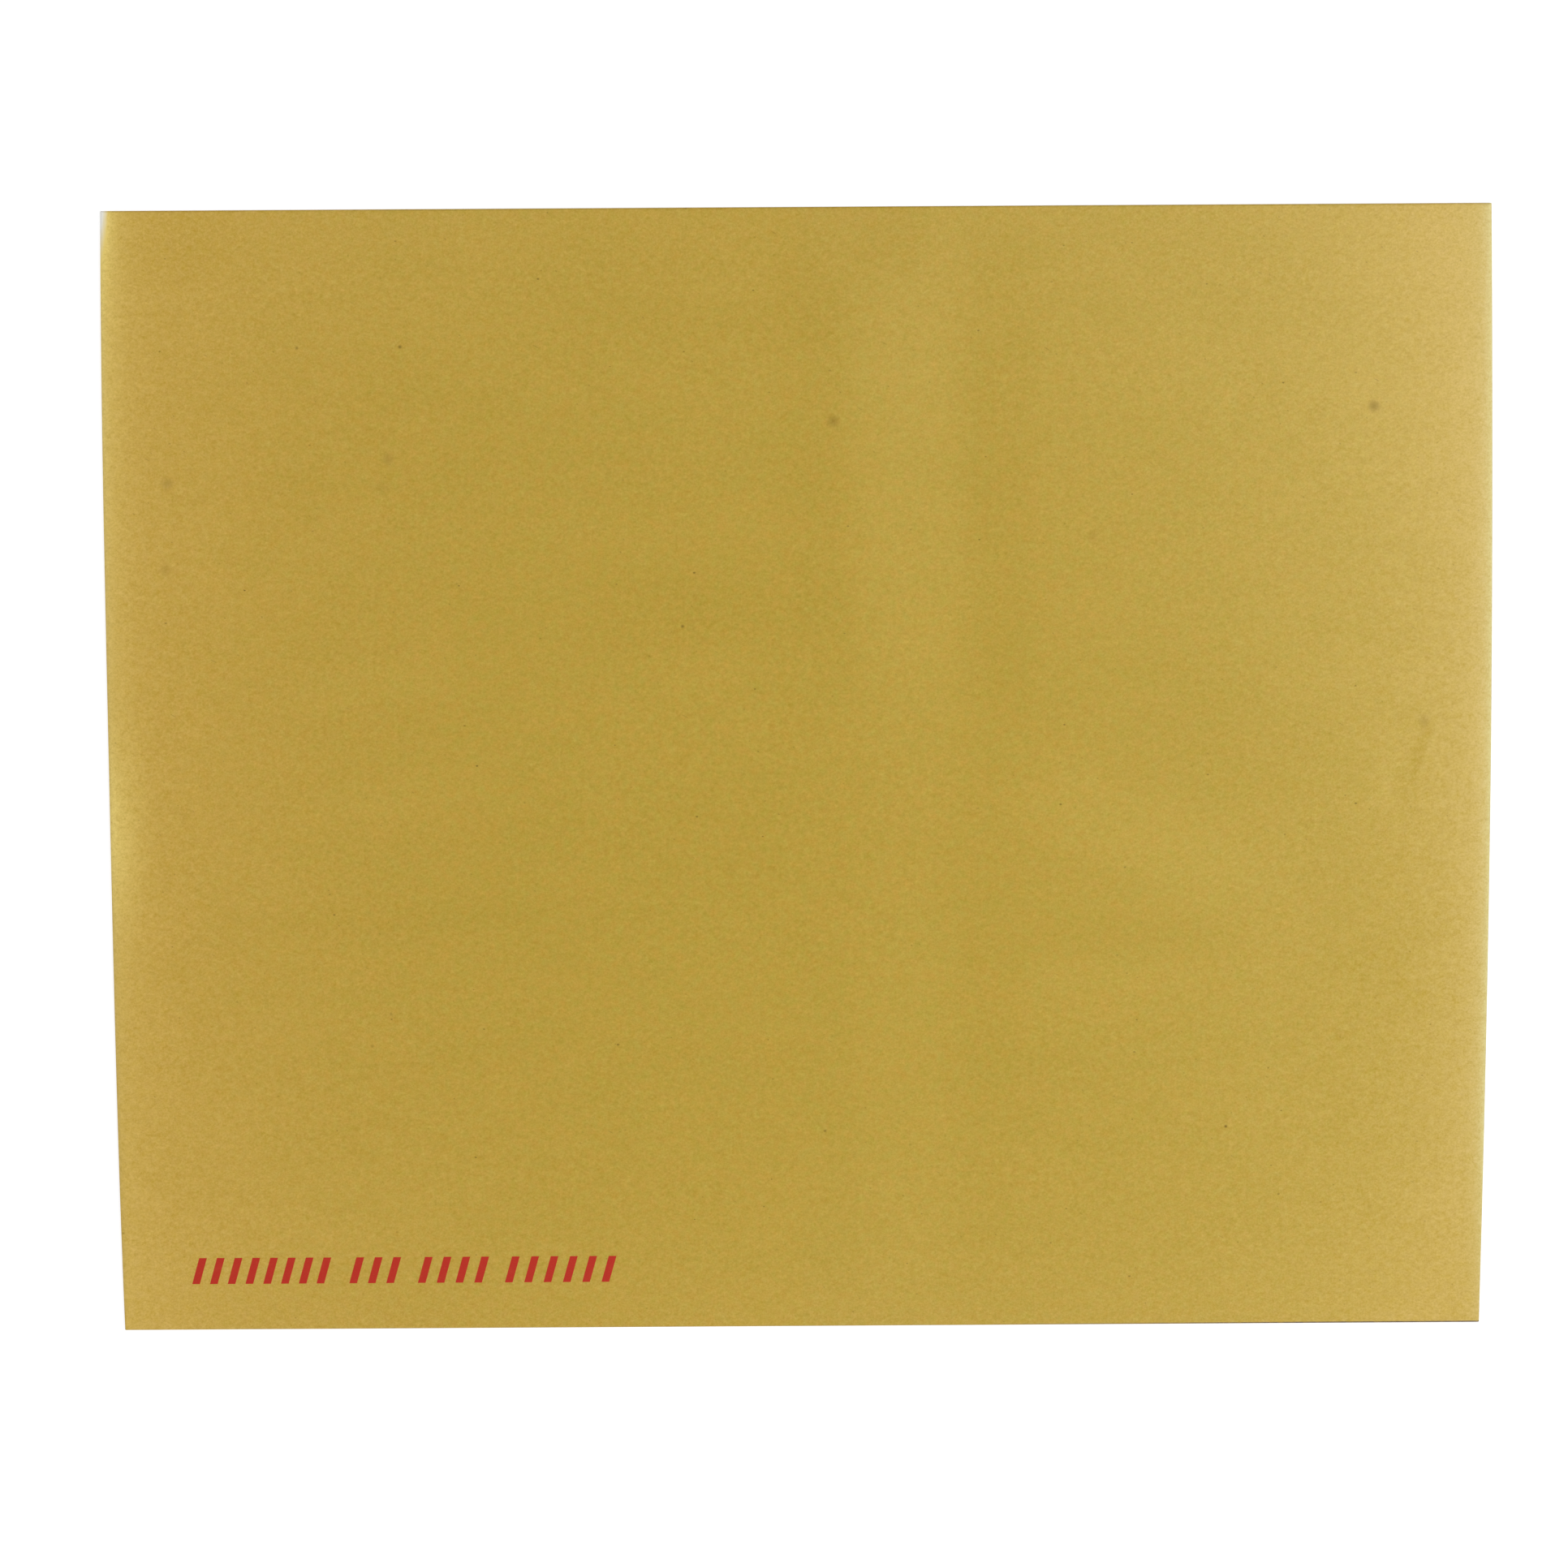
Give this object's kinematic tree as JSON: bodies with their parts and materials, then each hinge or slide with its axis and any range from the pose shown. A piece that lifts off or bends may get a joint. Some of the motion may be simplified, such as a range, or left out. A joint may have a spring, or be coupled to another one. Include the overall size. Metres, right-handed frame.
{
  "type": "board-backed envelope",
  "caption": "Flat manila envelope folded round a stiff chipboard back, with glued seam flaps behind and a self-seal flap folded over the opening at one short end.",
  "frame": {"origin": "middle of the outline in plan, on the surface that the envelope lies on", "axes": "+X along the long side from the closed end to the opening, +Y across the seams towards the top of the address side, +Z out of the address side"},
  "size_m": [0.444, 0.368, 0.0046],
  "materials": {
    "manila_paper": "unglazed manila with a fine fibrous grain",
    "chipboard": "matt grey-brown chipboard with flecks",
    "dry_gum": "thin dried glue line",
    "hot_melt": "tacky self-seal adhesive",
    "liner_paper": "smooth silicone-coated release paper",
    "marking_ink": "flat red ink soaked into the paper"
  },
  "bodies": {
    "root": {"paper_sheet": "manila_paper", "back_board": "chipboard", "seam_glue_upper": "dry_gum", "seam_glue_lower": "dry_gum", "end_glue": "dry_gum", "seal_adhesive": "hot_melt", "release_liner": "liner_paper"}
  },
  "joints": []
}
